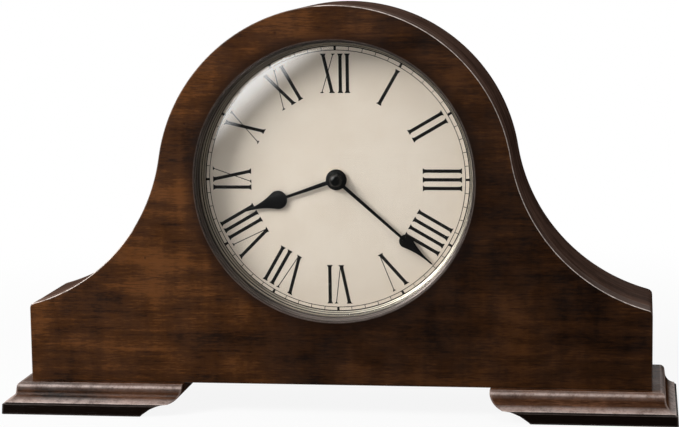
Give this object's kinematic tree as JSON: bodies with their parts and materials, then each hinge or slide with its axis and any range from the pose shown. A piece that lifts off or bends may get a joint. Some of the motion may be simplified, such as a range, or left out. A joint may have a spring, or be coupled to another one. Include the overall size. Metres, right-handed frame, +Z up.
{
  "type": "mantel clock",
  "caption": "Low wooden mantel clock with a round hump over two long shoulders, a domed glass dial, bracket feet and a back door.",
  "frame": {"origin": "on the ground under the middle of the clock's outer box", "axes": "+X to the viewer's right, +Y to the back, +Z up"},
  "size_m": [0.45, 0.1004, 0.2714],
  "materials": {
    "front_wood": "satin stained hardwood, worn edges",
    "cover_wood": "satin stained veneer",
    "foot_wood": "satin stained hardwood",
    "inner_wood": "raw softwood",
    "back_wood": "matt stained board",
    "ring_metal": "antique pewter",
    "glass": "clear domed",
    "rubber": "matt",
    "dial_paint": "aged cream with black print",
    "hand_black": "satin black",
    "steel": "plain",
    "brass": "aged",
    "case_plastic": "moulded",
    "wheel_plastic": "moulded acetal",
    "knob_plastic": "moulded",
    "copper": "enamelled wire",
    "board": "printed board",
    "cell": "plain sleeve",
    "paper": "pressed paper",
    "magnet": "ferrite with zinc plate"
  },
  "bodies": {
    "case": {"front_panel": "front_wood", "top_cover": "cover_wood", "left_end_board": "cover_wood", "right_end_board": "cover_wood", "bottom_board": "inner_wood", "back_panel": "back_wood", "catch_magnet": "steel", "glue_blocks": "inner_wood", "back_battens": "inner_wood", "back_panel_screws": "steel", "left_foot": "foot_wood", "right_foot": "foot_wood", "foot_screws": "steel", "hinge_case_leaves": "brass", "hinge_pins": "steel", "hinge_case_screws": "brass", "dial_ring": "ring_metal", "crystal": "glass", "crystal_gasket": "rubber", "dial_plate": "dial_paint", "dial_screws": "steel", "mounting_washer": "rubber", "mounting_nut": "brass", "movement_front_case": "case_plastic", "movement_rear_case": "case_plastic", "movement_screws": "steel", "motor_stator": "steel", "motor_coil": "copper", "circuit_board": "board", "quartz_can": "steel", "lower_battery": "cell", "upper_battery": "cell", "battery_contacts": "steel", "speaker_frame": "steel", "speaker_screws": "steel", "speaker_cone": "paper", "speaker_magnet": "magnet", "speaker_lead": "rubber"},
    "door": {"back_door": "back_wood", "hinge_door_leaves": "brass", "hinge_door_screws": "brass", "door_pull": "brass", "strike_plate": "steel"},
    "minute": {"minute_arbor": "wheel_plastic", "minute_hand": "hand_black", "minute_collet": "hand_black", "hand_cap": "hand_black"},
    "hour": {"hour_wheel": "wheel_plastic", "hour_hand": "hand_black"},
    "minute_wheel": {"minute_wheel": "wheel_plastic"},
    "setting": {"setting_knob": "knob_plastic"},
    "centre": {"centre_wheel": "wheel_plastic"},
    "third": {"third_wheel": "wheel_plastic"},
    "seconds": {"seconds_wheel": "wheel_plastic"},
    "intermediate": {"intermediate_wheel": "wheel_plastic"},
    "rotor": {"rotor": "steel"},
    "selector": {"chime_selector": "knob_plastic"},
    "volume": {"volume_knob": "knob_plastic"}
  },
  "joints": [
    {"name": "door_hinge", "type": "hinge", "parent": "case", "child": "door", "pos_m": [-0.0722, 0.0458, 0.155], "axis": [0, 0, 1], "range_deg": [0, 110]},
    {"name": "minute_turn", "type": "hinge", "parent": "case", "child": "minute", "pos_m": [0, -0.0032, 0.1555], "axis": [0, 1, 0], "continuous": true},
    {"name": "hour_turn", "type": "hinge", "parent": "case", "child": "hour", "pos_m": [0, -0.0032, 0.1555], "axis": [0, 1, 0], "continuous": true},
    {"name": "minute_wheel_turn", "type": "hinge", "parent": "case", "child": "minute_wheel", "pos_m": [-0.012, -0.0032, 0.1555], "axis": [0, 1, 0], "continuous": true},
    {"name": "setting_turn", "type": "hinge", "parent": "case", "child": "setting", "pos_m": [-0.02239, -0.0032, 0.1615], "axis": [0, 1, 0], "continuous": true},
    {"name": "intermediate_turn", "type": "hinge", "parent": "case", "child": "intermediate", "pos_m": [0.02578, -0.0032, 0.16], "axis": [0, 1, 0], "continuous": true},
    {"name": "rotor_turn", "type": "hinge", "parent": "case", "child": "rotor", "pos_m": [0.02578, -0.0032, 0.1498], "axis": [0, 1, 0], "continuous": true},
    {"name": "seconds_turn", "type": "hinge", "parent": "case", "child": "seconds", "pos_m": [0.0191, -0.0032, 0.16797], "axis": [0, 1, 0], "continuous": true},
    {"name": "third_turn", "type": "hinge", "parent": "case", "child": "third", "pos_m": [0.0072, -0.0032, 0.16797], "axis": [0, 1, 0], "continuous": true},
    {"name": "centre_turn", "type": "hinge", "parent": "case", "child": "centre", "pos_m": [0, -0.0032, 0.1555], "axis": [0, 1, 0], "continuous": true},
    {"name": "chime_select", "type": "slide", "parent": "case", "child": "selector", "axis": [1, 0, 0], "range_m": [-0.003, 0.003]},
    {"name": "volume_turn", "type": "hinge", "parent": "case", "child": "volume", "pos_m": [0.014, -0.0032, 0.1795], "axis": [0, 1, 0], "range_deg": [-135, 135]}
  ],
  "couplings": [
    {"joint": "hour_turn", "follows": "minute_turn", "ratio": 0.083333},
    {"joint": "minute_wheel_turn", "follows": "minute_turn", "ratio": -0.33333},
    {"joint": "setting_turn", "follows": "minute_turn", "ratio": 1},
    {"joint": "rotor_turn", "follows": "intermediate_turn", "ratio": -7.5},
    {"joint": "seconds_turn", "follows": "intermediate_turn", "ratio": -0.25},
    {"joint": "third_turn", "follows": "intermediate_turn", "ratio": 0.033333},
    {"joint": "centre_turn", "follows": "intermediate_turn", "ratio": -0.0041667}
  ]
}
